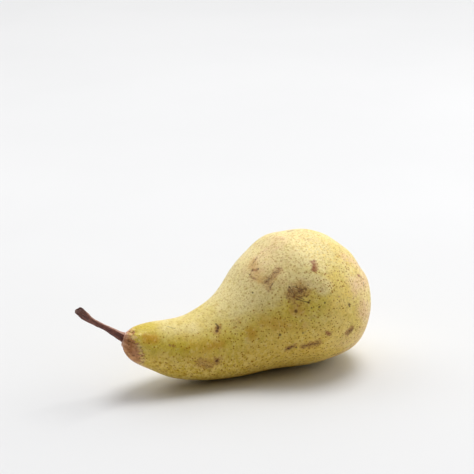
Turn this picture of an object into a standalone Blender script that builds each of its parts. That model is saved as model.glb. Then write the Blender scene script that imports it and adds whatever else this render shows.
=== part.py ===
"""A long-necked dessert pear, whole, lying on its side on a small flat spot.

Run: blender --background --python part.py

The fruit is a turned shape on a bent spine that stays in the XZ plane: the neck lies towards -X and the rounded end,
with its calyx basin, points up and away towards +X. Stem and calyx are pieces of their own, seated with a small gap.
The origin is below the middle of the whole pear, on the plane that it rests on.
"""

import math

import bmesh
import bpy
import numpy as np
from mathutils import Matrix, Vector

MM = 0.001

# ---------------------------------------------------------------- fruit, in millimetres and degrees
SPINE_LENGTH = 128.4  # neck end to rounded end, along the bent core line
CORE_TILT = ((0, -21.5), (12, -19.5), (25, -5.5), (40, 9.5), (55, 20), (70, 19), (85, 26.5), (100, 30))  # % of length, slope
CORE_RADIUS = ((0, 12.0), (10, 11.3), (20, 14.0), (30, 16.5), (40, 19.5), (50, 23.1), (60, 27.5), (70, 32.3), (80, 34.9), (90, 35.1), (100, 34.2))
NECK_CAP = 0.13  # share of the length over which the neck end rounds off
BASE_CAP = 0.36  # share of the length over which the far end rounds off
BASE_FLATNESS = 2.45  # 2 is an ellipse; more is squarer
BASE_CORNER = 2.42
OVALITY = 0.07  # how much wider than high the bulb is
FLAT_DEPTH = 0.5  # how far the resting side is pressed flat

# Swellings and hollows: % of length, angle round the spine (0 is +Y, 90 up, 180 is -Y, 270 down), height, spread along in
# % of the length, and spread round in degrees
SWELLINGS = (
    (60, 90, 1.45, 6, 50),
    (84, 90, -1.65, 7, 50),
    (95, 90, 0.2, 5, 50),
    (50, 270, -0.35, 6, 50),
    (60, 270, 0.6, 6, 50),
    (72, 270, -0.65, 7, 50),
    (84, 270, 3.0, 7, 50),
    (95, 270, 1.05, 5, 50),
    (2, 262, 0.4, 2.5, 70),
    (12, 90, 0.55, 5, 50),
    (12, 270, -0.7, 5, 50),
    (25, 90, -0.5, 6, 50),
    (68, 175, 1.1, 9, 55),
    (82, 10, 0.9, 9, 50),
    (44, 0, -0.8, 8, 55),
    (28, 185, 0.5, 8, 60),
    (17, 0, 0.5, 6, 60),
)

SOCKET_RADIUS, SOCKET_DEPTH, SOCKET_LIP = 2.75, 2.6, 3.3  # where the stem is seated
SOCKET_LIFT, SOCKET_SPREAD = 1.3, 10.0  # how far the socket sits above the core line, and the radius over which that fades
# The flesh climbs the stem on one side: how high at the middle of that side and how much less across from it, its angle
# round the spine, and the radii between which it fades
COLLAR_MEAN, COLLAR_LEAN, COLLAR_SIDE = 1.95, 2.15, 185
COLLAR_INNER, COLLAR_OUTER = 3.3, 11.0
BASIN_DEPTH, BASIN_FLOOR, BASIN_RIM = 4.6, 4.2, 13.0  # the hollow round the calyx

# ---------------------------------------------------------------- stem
STEM_LENGTH = 30.8  # outside the fruit
STEM_SEAT = 2.3  # inside the socket
STEM_RISE = ((0, 23), (10, 32), (60, 34), (85, 45), (100, 50))  # % of length, slope
STEM_RADIUS = ((0, 2.4), (10, 2.25), (26, 1.85), (41, 1.52), (56, 1.38), (72, 1.55), (90, 2.05), (100, 2.2))
STEM_CUT = 13  # slant of the broken-off end, degrees

# ---------------------------------------------------------------- calyx
CALYX_RADIUS, CALYX_RIM, CALYX_WALL = 3.3, 1.3, 0.6  # the cup that the sepals stand on
SEPALS, SEPAL_LENGTH, SEPAL_FLARE = 5, 4.3, 2.9
CALYX_GAP = 0.3  # between the cup and the basin's floor

FRUIT_RINGS, FRUIT_SIDES = 58, 52
STEM_RINGS, STEM_SIDES = 16, 14
CALYX_SIDES, SEPAL_ROWS = 50, 6


def spline(stations):
    """A natural cubic spline through the stations."""
    xs, ys = np.array(stations, float).T
    n, h = len(xs), np.diff(xs)
    a, b = np.eye(n), np.zeros(n)
    for i in range(1, n - 1):
        a[i, i - 1 : i + 2] = h[i - 1], 2 * (h[i - 1] + h[i]), h[i]
        b[i] = 6 * ((ys[i + 1] - ys[i]) / h[i] - (ys[i] - ys[i - 1]) / h[i - 1])
    m = np.linalg.solve(a, b)

    def value(x):
        x = np.clip(np.asarray(x, float), xs[0], xs[-1])
        i = np.clip(np.searchsorted(xs, x) - 1, 0, n - 2)
        d, e = x - xs[i], xs[i + 1] - x
        return (
            (m[i] * e**3 + m[i + 1] * d**3) / (6 * h[i])
            + (ys[i] / h[i] - m[i] * h[i] / 6) * e
            + (ys[i + 1] / h[i] - m[i + 1] * h[i] / 6) * d
        )

    return value


def smooth(x):
    x = np.clip(x, 0, 1)
    return x * x * (3 - 2 * x)


core_tilt, core_radius = spline(CORE_TILT), spline(CORE_RADIUS)
FINE = np.linspace(0, 1, 2001)
_slope = np.radians(core_tilt(FINE * 100))
_run = np.concatenate([[0], np.cumsum((np.cos(_slope[1:]) + np.cos(_slope[:-1])) / 2)]) * SPINE_LENGTH / 2000
_rise = np.concatenate([[0], np.cumsum((np.sin(_slope[1:]) + np.sin(_slope[:-1])) / 2)]) * SPINE_LENGTH / 2000


def core(u):
    """(x, z, slope) of the core line at share u of its length; x is 0 at the neck end."""
    return np.interp(u, FINE, _run), np.interp(u, FINE, _rise), np.radians(core_tilt(np.asarray(u) * 100))


def radius(u):
    """Radius of the fruit round its core line, both ends rounded off."""
    neck = np.sqrt(np.clip(1 - (1 - np.clip(u / NECK_CAP, 0, 1)) ** 2, 0, 1))
    base = np.clip(1 - np.clip((u - 1 + BASE_CAP) / BASE_CAP, 0, 1) ** BASE_FLATNESS, 0, 1) ** (1 / BASE_CORNER)
    return core_radius(u * 100) * neck * base


def swelling(u, degrees):
    total = 0
    for at, angle, height, along, around in SWELLINGS:
        turn = (degrees - angle + 180) % 360 - 180
        total = total + height * np.exp(-(((u * 100 - at) / along) ** 2) - (turn / around) ** 2)
    return total


def socket_lift(u, r):
    """How far a ring of radius r at the neck end is moved across the core line."""
    return SOCKET_LIFT * max(0, 1 - r / SOCKET_SPREAD) ** 1.5 if u < 0.5 else 0


def collar(u, r, degrees):
    """How far the flesh at the neck end stands up along the stem."""
    if u > 0.5:
        return 0
    fade = np.clip((COLLAR_OUTER - r) / (COLLAR_OUTER - COLLAR_INNER), 0, 1) ** 1.35
    return (COLLAR_MEAN + COLLAR_LEAN * np.cos(np.radians(degrees - COLLAR_SIDE))) * fade


def fruit_point(u, r, sink, degrees):
    """A point at share u, radius r and angle, moved sink millimetres back along the core line."""
    x, z, slope = core(u)
    a, lift = np.radians(degrees), socket_lift(u, r)
    if sink > -1:  # all but the socket's floor
        raised = collar(u, r, degrees)
        sink, lift = sink + raised, lift + 0.08 * raised
    r = r + swelling(u, degrees) * np.minimum(r / 8, 1)
    wide = 1 + OVALITY * smooth((u - 0.35) / 0.3)
    side, up = r * np.cos(a) * wide, r * np.sin(a) + lift
    return np.stack([x - up * np.sin(slope) - sink * np.cos(slope), side, z + up * np.cos(slope) - sink * np.sin(slope)], -1)


def fruit_rings():
    """(share of length, radius, sink) of each ring, from the socket's floor to the basin's floor."""
    u = (1 - np.cos(np.linspace(0, math.pi, FRUIT_RINGS))) / 2
    r = radius(u)
    r[0] = r[-1] = 0
    lip = float(np.interp(SOCKET_LIP, r[:6], u[:6]))
    rings = [(lip, SOCKET_RADIUS * 0.5, -SOCKET_DEPTH), (lip, SOCKET_RADIUS, -SOCKET_DEPTH), (lip, SOCKET_RADIUS, -0.4), (lip, SOCKET_LIP, 0)]
    for share, wide in zip(u, r):
        if share <= lip or wide < SOCKET_LIP + 0.5 and share < 0.5:
            continue
        hollow = BASIN_DEPTH * (1 - smooth((wide - BASIN_FLOOR) / (BASIN_RIM - BASIN_FLOOR))) if share > 0.5 else 0
        if share > 0.5 and wide < 1:
            break
        rings.append((share, wide, hollow))
    return rings


def grid_mesh(name, rows, closed_ends=True):
    """A closed mesh from rows of points, each row a ring; the first and last rings are filled by a fan."""
    made = bmesh.new()
    rings = [[made.verts.new(p) for p in row] for row in rows]
    n = len(rings[0])
    for a, b in zip(rings, rings[1:]):
        for i in range(n):
            made.faces.new((a[i], a[(i + 1) % n], b[(i + 1) % n], b[i]))
    for ring in (rings[0], rings[-1]):
        middle = made.verts.new(sum((v.co for v in ring), Vector()) / n)
        for i in range(n):
            made.faces.new((ring[i], ring[(i + 1) % n], middle))
    bmesh.ops.recalc_face_normals(made, faces=made.faces)
    mesh = bpy.data.meshes.new(name)
    made.to_mesh(mesh)
    made.free()
    return mesh


def material(name, colour, roughness):
    made = bpy.data.materials.new(name)
    made.use_nodes = True
    shader = made.node_tree.nodes["Principled BSDF"]
    shader.inputs["Base Color"].default_value = (*colour, 1)
    shader.inputs["Roughness"].default_value = roughness
    shader.inputs["Metallic"].default_value = 0
    return made


def piece(name, mesh, finish, parent, matrix=None):
    made = bpy.data.objects.new(name, mesh)
    bpy.context.scene.collection.objects.link(made)
    made.parent = parent
    made.matrix_basis = matrix or Matrix.Identity(4)
    mesh.materials.append(finish)
    mesh.shade_smooth()
    mesh.set_sharp_from_angle(angle=math.radians(50))
    return made


def build_fruit(parent, finish):
    angles = np.arange(FRUIT_SIDES) * 360 / FRUIT_SIDES
    rows = [fruit_point(u, r, sink, angles) * MM for u, r, sink in fruit_rings()]
    low = min(row[:, 2].min() for row in rows) + FLAT_DEPTH * MM
    mesh = grid_mesh("fruit", rows)
    # The resting side is pressed flat: one plane takes off the lowest half millimetre.
    made = bmesh.new()
    made.from_mesh(mesh)
    cut = bmesh.ops.bisect_plane(
        made, geom=made.verts[:] + made.edges[:] + made.faces[:], dist=1e-7, plane_co=(0, 0, low), plane_no=(0, 0, -1), clear_outer=True
    )
    rim = [e for e in cut["geom_cut"] if isinstance(e, bmesh.types.BMEdge)]
    bmesh.ops.remove_doubles(made, verts=list({v for e in rim for v in e.verts}), dist=2e-5)
    rim = [e for e in made.edges if e.is_boundary]
    bmesh.ops.contextual_create(made, geom=rim)
    bmesh.ops.recalc_face_normals(made, faces=made.faces)
    made.to_mesh(mesh)
    made.free()
    return piece("fruit", mesh, finish, parent), low


def stem_frame():
    """Where the stem stands: the middle of the socket's mouth, X along the spine, towards the fruit."""
    lip = fruit_rings()[0][0]
    x, z, slope = core(lip)
    turn = Matrix.Rotation(-float(slope), 4, "Y")
    return Matrix.Translation(Vector((x, 0, z)) * MM) @ turn @ Matrix.Translation((0, 0, socket_lift(lip, SOCKET_RADIUS) * MM))


def build_stem(parent, finish):
    rise, thick = spline(STEM_RISE), spline(STEM_RADIUS)
    own = -math.degrees(float(core(fruit_rings()[0][0])[2]))  # the frame's own rise towards -X
    share = np.linspace(0, 1, STEM_RINGS)
    fine = np.linspace(0, 1, 401)
    slope = np.radians(rise(fine * 100) - own)
    x = -np.concatenate([[0], np.cumsum((np.cos(slope[1:]) + np.cos(slope[:-1])) / 2)]) * STEM_LENGTH / 400
    z = np.concatenate([[0], np.cumsum((np.sin(slope[1:]) + np.sin(slope[:-1])) / 2)]) * STEM_LENGTH / 400
    a = np.arange(STEM_SIDES) * 2 * math.pi / STEM_SIDES
    rows = []
    for back, r in ((STEM_SEAT, 1.8), (STEM_SEAT, 2.3), (0.4, 2.4)):
        rows.append(np.stack([np.full_like(a, back), r * np.cos(a), r * np.sin(a)], -1) * MM)
    for u in share[1:]:
        r, t = float(thick(u * 100)), math.radians(float(rise(u * 100)) - own)
        px, pz = np.interp(u, fine, x), np.interp(u, fine, z)
        side, up = r * np.cos(a), r * np.sin(a) * 0.92
        lean = up * math.tan(math.radians(STEM_CUT)) * max(0, (u - 0.8) / 0.2)
        rows.append(np.stack([px + up * math.sin(t) + lean * math.cos(t), side, pz + up * math.cos(t) - lean * math.sin(t)], -1) * MM)
    return piece("stem", grid_mesh("stem", rows), finish, parent, stem_frame())


def calyx_frame():
    """The middle of the basin's floor, Z out of the fruit along its core line."""
    x, z, slope = core(1.0)
    way = Vector((math.cos(slope), 0, math.sin(slope)))
    at = Vector((float(x), 0, float(z))) - way * (BASIN_DEPTH - CALYX_GAP)
    return Matrix.Translation(at * MM) @ way.to_track_quat("Z", "Y").to_matrix().to_4x4()


def build_calyx(parent, finish):
    """A shallow cup with five pointed sepals that stand up from its rim and flare outwards."""
    a = np.arange(CALYX_SIDES) * 2 * math.pi / CALYX_SIDES
    lobe = np.abs(((a * SEPALS / (2 * math.pi)) % 1) - 0.5) * 2  # 0 at a sepal's middle, 1 between two
    tall = np.clip(1 - lobe**1.4, 0, 1) * SEPAL_LENGTH
    rows = []

    def ring(r, z):
        rows.append(np.stack([r * np.cos(a), r * np.sin(a), z + 0 * a], -1) * MM)

    ring(CALYX_RADIUS * 0.55, 0)
    ring(CALYX_RADIUS * 0.9, 0.05)
    ring(CALYX_RADIUS, CALYX_RIM * 0.5)
    for k in range(SEPAL_ROWS + 1):
        t = k / SEPAL_ROWS
        flare = SEPAL_FLARE * (t**1.6) * tall / SEPAL_LENGTH
        ring(CALYX_RADIUS + 0.15 + flare, CALYX_RIM + t * tall * (1 - 0.25 * t))
    for k in range(SEPAL_ROWS, -1, -1):
        t = k / SEPAL_ROWS
        flare = SEPAL_FLARE * (t**1.6) * tall / SEPAL_LENGTH
        ring(CALYX_RADIUS + 0.15 - CALYX_WALL + flare, CALYX_RIM + 0.12 + t * tall * (1 - 0.25 * t))
    ring(CALYX_RADIUS * 0.6, 0.75)
    return piece("calyx", grid_mesh("calyx", rows), finish, parent, calyx_frame())


def main():
    for old in list(bpy.data.objects):
        bpy.data.objects.remove(old, do_unlink=True)
    pear = bpy.data.objects.new("pear", None)
    bpy.context.scene.collection.objects.link(pear)
    skin = material("pear_skin", (0.52, 0.42, 0.11), 0.45)
    wood = material("stem_wood", (0.11, 0.055, 0.03), 0.75)
    dry = material("calyx_dry", (0.07, 0.045, 0.028), 0.85)
    fruit, floor = build_fruit(pear, skin)
    made = [fruit, build_stem(pear, wood), build_calyx(pear, dry)]
    bpy.context.view_layer.update()
    points = np.array([list(o.matrix_world @ v.co) for o in made for v in o.data.vertices])
    middle = (points.min(0) + points.max(0)) / 2
    pear.location = (-middle[0], -middle[1], -floor)
    bpy.context.view_layer.update()


main()
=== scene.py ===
"""The looks of a whole pear that lies on its side: skin, stem and dried calyx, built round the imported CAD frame."""

import math

import bpy
import numpy as np
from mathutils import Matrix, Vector, noise

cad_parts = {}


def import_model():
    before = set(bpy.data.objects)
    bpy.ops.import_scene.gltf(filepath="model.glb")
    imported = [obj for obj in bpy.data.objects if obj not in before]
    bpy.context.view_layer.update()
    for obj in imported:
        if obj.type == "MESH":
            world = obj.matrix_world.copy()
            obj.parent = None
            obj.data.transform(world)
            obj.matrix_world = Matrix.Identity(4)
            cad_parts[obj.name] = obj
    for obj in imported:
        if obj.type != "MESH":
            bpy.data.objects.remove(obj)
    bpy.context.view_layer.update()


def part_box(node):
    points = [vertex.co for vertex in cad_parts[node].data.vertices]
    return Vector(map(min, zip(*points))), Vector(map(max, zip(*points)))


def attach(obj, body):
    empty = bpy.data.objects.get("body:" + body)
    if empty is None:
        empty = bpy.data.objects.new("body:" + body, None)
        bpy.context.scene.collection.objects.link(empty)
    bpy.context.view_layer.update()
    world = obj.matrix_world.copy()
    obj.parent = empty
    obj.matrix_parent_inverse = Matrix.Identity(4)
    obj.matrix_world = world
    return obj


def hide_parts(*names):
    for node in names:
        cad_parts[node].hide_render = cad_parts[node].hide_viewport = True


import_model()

MM = 0.001

# ------------------------------------------------------------------ the fruit's form, as in the CAD model (mm, degrees)
SPINE_LENGTH = 128.4
CORE_TILT = ((0, -21.5), (12, -19.5), (25, -5.5), (40, 9.5), (55, 20), (70, 19), (85, 26.5), (100, 30))
CORE_RADIUS = ((0, 12.0), (10, 11.3), (20, 14.0), (30, 16.5), (40, 19.5), (50, 23.1), (60, 27.5), (70, 32.3), (80, 34.9), (90, 35.1), (100, 34.2))
NECK_CAP, BASE_CAP, BASE_FLATNESS, BASE_CORNER = 0.13, 0.36, 2.45, 2.42
OVALITY, FLAT_DEPTH = 0.07, 0.5
SWELLINGS = (
    (60, 90, 1.45, 6, 50), (84, 90, -1.65, 7, 50), (95, 90, 0.2, 5, 50), (50, 270, -0.35, 6, 50), (60, 270, 0.6, 6, 50),
    (72, 270, -0.65, 7, 50), (84, 270, 3.0, 7, 50), (95, 270, 1.05, 5, 50), (2, 262, 0.4, 2.5, 70), (12, 90, 0.55, 5, 50),
    (12, 270, -0.7, 5, 50), (25, 90, -0.5, 6, 50), (68, 175, 1.1, 9, 55), (82, 10, 0.9, 9, 50), (44, 0, -0.8, 8, 55),
    (28, 185, 0.5, 8, 60), (17, 0, 0.5, 6, 60),
)  # % of length, angle round the spine (0 is +Y, 90 up, 180 is -Y, 270 down), height, spread along, spread round
SOCKET_LIFT, SOCKET_SPREAD, SOCKET_LIP = 1.3, 10.0, 3.3
COLLAR_MEAN, COLLAR_LEAN, COLLAR_SIDE = 1.95, 2.15, 185
COLLAR_INNER, COLLAR_OUTER = 3.3, 11.0
BASIN_DEPTH, BASIN_FLOOR, BASIN_RIM = 4.6, 4.2, 13.0
STEM_LENGTH, STEM_CUT = 30.76, 13
STEM_RISE = ((0, 23), (10, 32), (60, 34), (85, 45), (100, 50))
STEM_RADIUS = ((0, 2.4), (10, 2.25), (26, 1.85), (41, 1.52), (56, 1.38), (72, 1.55), (90, 2.05), (100, 2.2))
CALYX_GAP = 0.3

RINGS, SIDES = 330, 288


def spline(stations):
    """A natural cubic spline through the stations."""
    xs, ys = np.array(stations, float).T
    n, h = len(xs), np.diff(xs)
    a, b = np.eye(n), np.zeros(n)
    for i in range(1, n - 1):
        a[i, i - 1 : i + 2] = h[i - 1], 2 * (h[i - 1] + h[i]), h[i]
        b[i] = 6 * ((ys[i + 1] - ys[i]) / h[i] - (ys[i] - ys[i - 1]) / h[i - 1])
    m = np.linalg.solve(a, b)

    def value(x):
        x = np.clip(np.asarray(x, float), xs[0], xs[-1])
        i = np.clip(np.searchsorted(xs, x) - 1, 0, n - 2)
        d, e = x - xs[i], xs[i + 1] - x
        return (
            (m[i] * e**3 + m[i + 1] * d**3) / (6 * h[i])
            + (ys[i] / h[i] - m[i] * h[i] / 6) * e
            + (ys[i + 1] / h[i] - m[i + 1] * h[i] / 6) * d
        )

    return value


def smooth(x):
    x = np.clip(x, 0, 1)
    return x * x * (3 - 2 * x)


def step(x, a, b):
    """0 at a, 1 at b, smooth between; a may be above b."""
    return smooth((np.asarray(x, float) - a) / (b - a))


def bell(x, middle, width):
    return np.exp(-(((np.asarray(x, float) - middle) / width) ** 2))


core_tilt, core_radius = spline(CORE_TILT), spline(CORE_RADIUS)
FINE = np.linspace(0, 1, 2001)
_slope = np.radians(core_tilt(FINE * 100))
_run = np.concatenate([[0], np.cumsum((np.cos(_slope[1:]) + np.cos(_slope[:-1])) / 2)]) * SPINE_LENGTH / 2000
_rise = np.concatenate([[0], np.cumsum((np.sin(_slope[1:]) + np.sin(_slope[:-1])) / 2)]) * SPINE_LENGTH / 2000


def core(u):
    return np.interp(u, FINE, _run), np.interp(u, FINE, _rise), np.radians(core_tilt(np.asarray(u) * 100))


def radius(u):
    neck = np.sqrt(np.clip(1 - (1 - np.clip(u / NECK_CAP, 0, 1)) ** 2, 0, 1))
    base = np.clip(1 - np.clip((u - 1 + BASE_CAP) / BASE_CAP, 0, 1) ** BASE_FLATNESS, 0, 1) ** (1 / BASE_CORNER)
    return core_radius(u * 100) * neck * base


def swelling(u, degrees):
    total = 0
    for at, angle, height, along, around in SWELLINGS:
        turn = (degrees - angle + 180) % 360 - 180
        total = total + height * np.exp(-(((u * 100 - at) / along) ** 2) - (turn / around) ** 2)
    return total


def socket_lift(u, r):
    return np.where(u < 0.5, SOCKET_LIFT * np.clip(1 - r / SOCKET_SPREAD, 0, 1) ** 1.5, 0)


def collar(u, r, degrees):
    """How far the flesh at the neck end stands up along the stem."""
    fade = np.clip((COLLAR_OUTER - r) / (COLLAR_OUTER - COLLAR_INNER), 0, 1) ** 1.35
    return np.where(u < 0.5, (COLLAR_MEAN + COLLAR_LEAN * np.cos(np.radians(degrees - COLLAR_SIDE))) * fade, 0)


def form(u, r, sink, degrees):
    """Points of the fruit before its place in the row frame is known. All arguments broadcast."""
    u, r, sink, degrees = np.broadcast_arrays(u, r, sink, degrees)
    x, z, slope = core(u)
    a = np.radians(degrees)
    raised = collar(u, r, degrees) * step(sink, -1.6, -0.9)
    sink = sink + raised
    up = socket_lift(u, r) + 0.08 * raised
    r = r + swelling(u, degrees) * np.minimum(r / 8, 1)
    wide = 1 + OVALITY * smooth((u - 0.35) / 0.3)
    side, up = r * np.cos(a) * wide, r * np.sin(a) + up
    return np.stack([x - up * np.sin(slope) - sink * np.cos(slope), side, z + up * np.cos(slope) - sink * np.sin(slope)], -1)


# The CAD fruit's box gives the place: its high end along X, its middle along Y, and its top.
_u = (1 - np.cos(np.linspace(0, math.pi, 200))) / 2
_p = form(_u[:, None], radius(_u)[:, None], 0, np.arange(0, 360, 4)[None, :]).reshape(-1, 3)
_low, _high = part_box("fruit")
SHIFT = np.array([_high.x * 1000 - _p[:, 0].max(), (_low.y + _high.y) * 500 - (_p[:, 1].max() + _p[:, 1].min()) / 2, _high.z * 1000 - _p[:, 2].max()])


def noise_at(points, size, seed=0.0):
    """Smooth noise of about -1 to 1 at each point; size is its feature size in mm."""
    q = np.asarray(points, float).reshape(-1, 3) / size + seed
    return np.array([noise.noise(Vector(v)) for v in q]).reshape(np.shape(points)[:-1])


# ------------------------------------------------------------------ the skin as one closed, finely meshed surface
def skin_rings():
    """(share of length, radius, sink, distance along the profile) of each ring, from the neck end to the calyx basin."""
    u = (1 - np.cos(np.linspace(0, math.pi, 4000))) / 2
    r = radius(u)
    keep = (r >= SOCKET_LIP) | (u > 0.5)
    keep &= (r > 0.25) | (u < 0.5)
    u, r = u[keep], r[keep]
    hollow = np.where(u > 0.5, BASIN_DEPTH * (1 - smooth((r - BASIN_FLOOR) / (BASIN_RIM - BASIN_FLOOR))), 0)
    hollow = hollow - np.where(u > 0.5, 0.45 * (1 - smooth((r - 3.1) / 1.5)), 0)
    lip = u[0]
    into = [(lip, 0.4, -2.2), (lip, 1.6, -2.1), (lip, 2.2, -1.8), (lip, 2.32, -1.2), (lip, 2.36, -0.7), (lip, 2.42, -0.35), (lip, 2.62, -0.08), (lip, 2.95, 0.0)]
    profile = np.array(into + list(zip(u, r, hollow)))
    x = profile[:, 0] * SPINE_LENGTH - profile[:, 2]
    s = np.concatenate([[0], np.cumsum(np.hypot(np.diff(x), np.diff(profile[:, 1])))])
    weight = 1 + 2.2 * np.exp(-((s / 11) ** 2)) + 1.0 * np.exp(-(((s[-1] - s) / 15) ** 2))
    even = np.concatenate([[0], np.cumsum((weight[1:] + weight[:-1]) / 2 * np.diff(s))])
    at = np.interp(np.linspace(0, even[-1], RINGS), even, s)
    return [np.interp(at, s, profile[:, k]) for k in range(3)] + [at]


def skin_points():
    u, r, sink, along = (a[:, None] for a in skin_rings())
    degrees = (np.arange(SIDES) * 360 / SIDES)[None, :]
    rad = np.radians(degrees)
    neck, base = u < 0.3, u > 0.7
    # The fleshy lip ends in a soft, uneven bead against the stem, and is puckered round it.
    bead = 0.30 + 0.12 * np.sin(3 * rad + 0.8) + 0.08 * np.sin(7 * rad)
    lift = np.where(neck, bead * bell(r, 3.0, 0.75) * step(sink, -1.3, -0.2), 0)
    pucker = np.where(neck, bell(r, 5.6, 2.2), 0)
    folds = np.clip(np.sin(7 * rad + 1.1 * np.sin(2 * rad + 0.5)), -0.3, 1) * 0.16 + 0.08 * np.sin(12 * rad + 0.6)
    p = form(u, r, sink + lift, degrees) + SHIFT
    # Normals of the plain form, for moving points along them.
    du = np.gradient(p, axis=0)
    dt = (np.roll(p, -1, 1) - np.roll(p, 1, 1)) / 2
    n = np.cross(dt, du)
    n /= np.linalg.norm(n, axis=-1, keepdims=True) + 1e-12
    middle = p.mean((0, 1))
    if ((p - middle) * n).sum() < 0:
        n = -n
    body = np.minimum(r / 9, 1) * np.where(u > 0.5, step(r, 4, 12), 1)
    move = -pucker * (folds + 0.08)
    move = move + body * (0.30 * noise_at(p, 24, 3.1) + 0.13 * noise_at(p, 10, 7.7) + 0.045 * noise_at(p, 4.2, 1.3) - 0.1)
    # Round the calyx: five soft lobes on the rim, and fine ribs that run down into the basin.
    lobes = np.where(base, 0.34 * np.cos(5 * rad + 0.6) * bell(r, 13.5, 5) + 0.15 * np.cos(3 * rad + 2) * bell(r, 15, 6), 0)
    ribs = np.where(base, 0.2 * np.sin(13 * rad + 1.5 * np.sin(2 * rad)) * bell(r, 7.0, 2.6) + 0.1 * np.sin(22 * rad + 1) * bell(r, 6, 2), 0)
    move = move + lobes - np.abs(ribs)
    for (u0, a0), (u1, a1), wide, deep in DENTS:
        a, b = (place(p, u, uu, aa) for uu, aa in ((u0, a0), (u1, a1)))
        move = move - deep * np.exp(-((capsule(p, a, b) / wide) ** 2))
    p = p + n * move[..., None]
    # Pressed flat where it rests.
    z = p[..., 2]
    press = (z + np.sqrt(z * z + 0.24**2)) / 2
    p[..., 2] = press - press.min()
    return p, u[:, 0], r[:, 0], sink[:, 0], along[:, 0]


def place(p, u, share, degrees):
    """The point of the meshed skin at a share of the length (%) and an angle."""
    shares = np.asarray(u, float).reshape(-1) * 100
    order = np.where(np.concatenate([[True], np.diff(shares) > 1e-9]))[0]
    i = float(np.interp(share, shares[order], order))
    j = (degrees / 360 * SIDES) % SIDES
    i0, j0 = min(int(i), RINGS - 2), int(j)
    fi, fj = i - i0, j - j0
    q = p[i0 : i0 + 2][:, [j0, (j0 + 1) % SIDES]]
    return (q[0, 0] * (1 - fi) + q[1, 0] * fi) * (1 - fj) + (q[0, 1] * (1 - fi) + q[1, 1] * fi) * fj


def capsule(p, a, b):
    """Distance of each point from the segment a-b."""
    ab = b - a
    t = np.clip(((p - a) @ ab) / max(ab @ ab, 1e-9), 0, 1)
    return np.linalg.norm(p - a - t[..., None] * ab, axis=-1)


# Dents: ends (% of length, angle), width, depth
DENTS = (
    ((63, 143), (69, 146), 6.0, 0.35),
    ((61, 119), (66, 118), 4.0, 0.2),
    ((33.2, 138), (34, 132), 1.6, 0.22),
    ((60.6, 196), (65.6, 195), 1.5, 0.12),
    ((45, 157), (45.5, 163), 5.0, 0.2),
    ((72, 20), (78, 30), 7.0, 0.3),
)

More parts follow.
